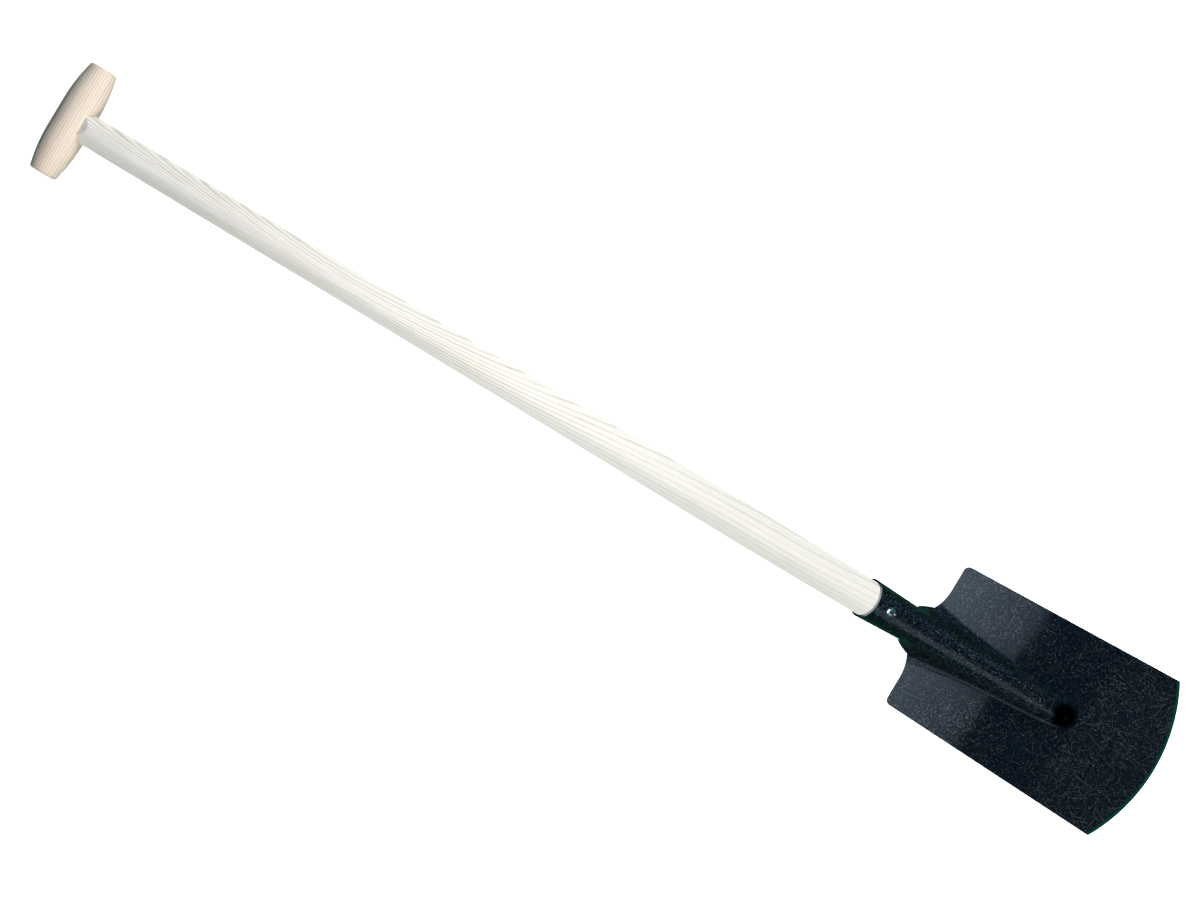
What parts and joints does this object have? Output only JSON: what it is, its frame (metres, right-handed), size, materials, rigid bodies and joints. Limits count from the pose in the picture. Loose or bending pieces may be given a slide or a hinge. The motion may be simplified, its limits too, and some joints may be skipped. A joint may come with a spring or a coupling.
{
  "type": "garden spade",
  "caption": "Garden spade with a flat pressed steel blade, a ridge running down from its rolled socket, a long round ash shaft and a barrel-shaped wooden T-grip.",
  "frame": {"origin": "middle of the overall length and width, on the surface that the spade lies on, with its back down", "axes": "+X along the shaft from the grip to the cutting edge, +Y across the blade, +Z out of the blade's front"},
  "size_m": [1.2503, 0.1746, 0.0438],
  "materials": {
    "head_paint": "blue-black lacquer, semi-gloss, dusty and finely scratched",
    "shaft_ash": "raw sanded ash, pale cream with faint straight grain",
    "grip_ash": "raw sanded ash, a little pinker than the shaft",
    "wedge_wood": "darker hardwood",
    "rivet_steel": "bright steel"
  },
  "bodies": {
    "root": {"spade_head": "head_paint", "shaft": "shaft_ash", "t_grip": "grip_ash", "tenon_wedge": "wedge_wood", "socket_rivet": "rivet_steel", "rivet_washer": "rivet_steel"}
  },
  "joints": []
}
